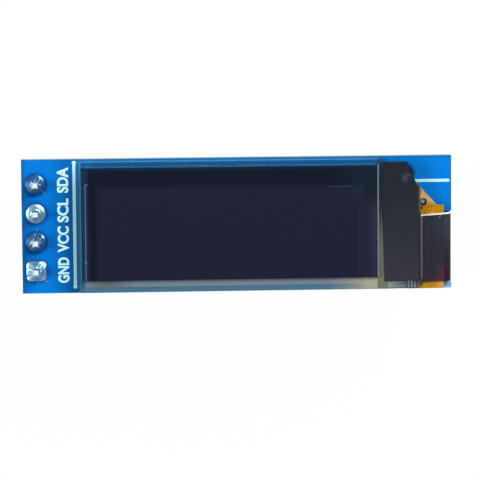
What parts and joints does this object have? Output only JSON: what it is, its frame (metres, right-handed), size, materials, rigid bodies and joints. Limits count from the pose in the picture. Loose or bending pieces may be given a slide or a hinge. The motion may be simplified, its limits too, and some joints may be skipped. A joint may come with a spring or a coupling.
{
  "type": "small oled display module",
  "caption": "Slim circuit board carrying a glass graphic display panel, with a soldered pin header at an end and a flexible tail folded through a notch in the opposite end.",
  "frame": {"origin": "middle of the pin row, on the lower face of the header's plastic body, where the header meets the board or socket it plugs into", "axes": "+X along the board from the header to the folded tail, +Z the way the display faces, +Y the rest of a right-handed set"},
  "size_m": [0.038, 0.0118, 0.0113],
  "materials": {
    "board_mask": "glossy",
    "tin": "bright tinned",
    "solder": "bright",
    "gold_plate": "satin",
    "black_plastic": "satin",
    "white_tape": "matte",
    "panel_glass": "clear",
    "drying_paper": "matte",
    "panel_glue": "glossy",
    "emitting_layers": "glossy",
    "polarizing_film": "glossy",
    "silicon": "polished",
    "black_resin": "glossy",
    "amber_film": "satin",
    "black_tape": "satin",
    "capacitor_ceramic": "satin",
    "resistor_ceramic": "satin",
    "legend_ink": "printed ink",
    "glass_tracks": "thin film"
  },
  "bodies": {
    "root": {"board": "board_mask", "capacitor_1": "capacitor_ceramic", "capacitor_2": "capacitor_ceramic", "capacitor_3": "capacitor_ceramic", "capacitor_4": "capacitor_ceramic", "capacitor_5": "capacitor_ceramic", "capacitor_6": "capacitor_ceramic", "capacitor_7": "capacitor_ceramic", "capacitor_8": "capacitor_ceramic", "chip_resin": "black_resin", "diode_body": "black_plastic", "diode_leads": "tin", "driver_chip": "silicon", "drying_sheet": "drying_paper", "edge_seal": "panel_glue", "emitting_film": "emitting_layers", "flexible_tail": "amber_film", "front_glass": "panel_glass", "header_body": "black_plastic", "ledge_tape": "black_tape", "neck_tape": "black_tape", "panel_bed_tape": "white_tape", "part_lands": "gold_plate", "part_solder": "solder", "pin_gnd": "tin", "pin_scl": "tin", "pin_sda": "tin", "pin_vcc": "tin", "plated_holes": "tin", "polarizer": "polarizing_film", "rear_glass": "panel_glass", "regulator_body": "black_plastic", "regulator_leads": "tin", "resistor_1": "resistor_ceramic", "resistor_2": "resistor_ceramic", "resistor_3": "resistor_ceramic", "resistor_4": "resistor_ceramic", "resistor_5": "resistor_ceramic", "solder_gnd": "solder", "solder_scl": "solder", "solder_sda": "solder", "solder_vcc": "solder", "tail_lands": "gold_plate", "tail_leads": "tin", "tail_solder": "solder"}
  },
  "joints": []
}
